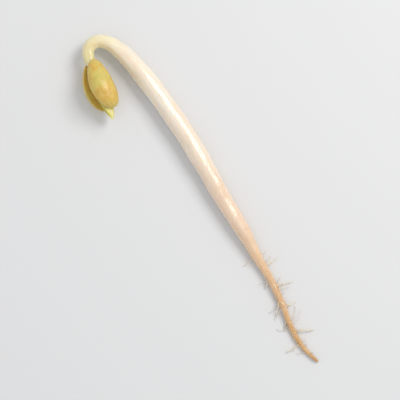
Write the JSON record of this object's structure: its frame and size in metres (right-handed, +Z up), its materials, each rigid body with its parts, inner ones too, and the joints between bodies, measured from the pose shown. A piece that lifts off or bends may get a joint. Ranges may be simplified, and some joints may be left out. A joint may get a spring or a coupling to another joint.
{
  "type": "mung bean sprout",
  "caption": "Single mung bean sprout lying on its side: thick white stem, thin tap root with side rootlets, and a hooked head of two seed leaves with the first leaves between them.",
  "frame": {"origin": "on the surface the sprout lies on, under the middle of its bounding box", "axes": "+X along the sprout from the root's tip to the hook of the stem, +Y towards the side on which the head hangs, +Z up from the surface"},
  "size_m": [0.073, 0.0138, 0.0064],
  "materials": {
    "stem": "satin",
    "cotyledon": "satin",
    "first_leaf": "satin"
  },
  "bodies": {
    "root": {"stem_and_root": "stem", "cotyledon_upper": "cotyledon", "cotyledon_lower": "cotyledon", "first_leaf_upper": "first_leaf", "first_leaf_lower": "first_leaf"}
  },
  "joints": []
}
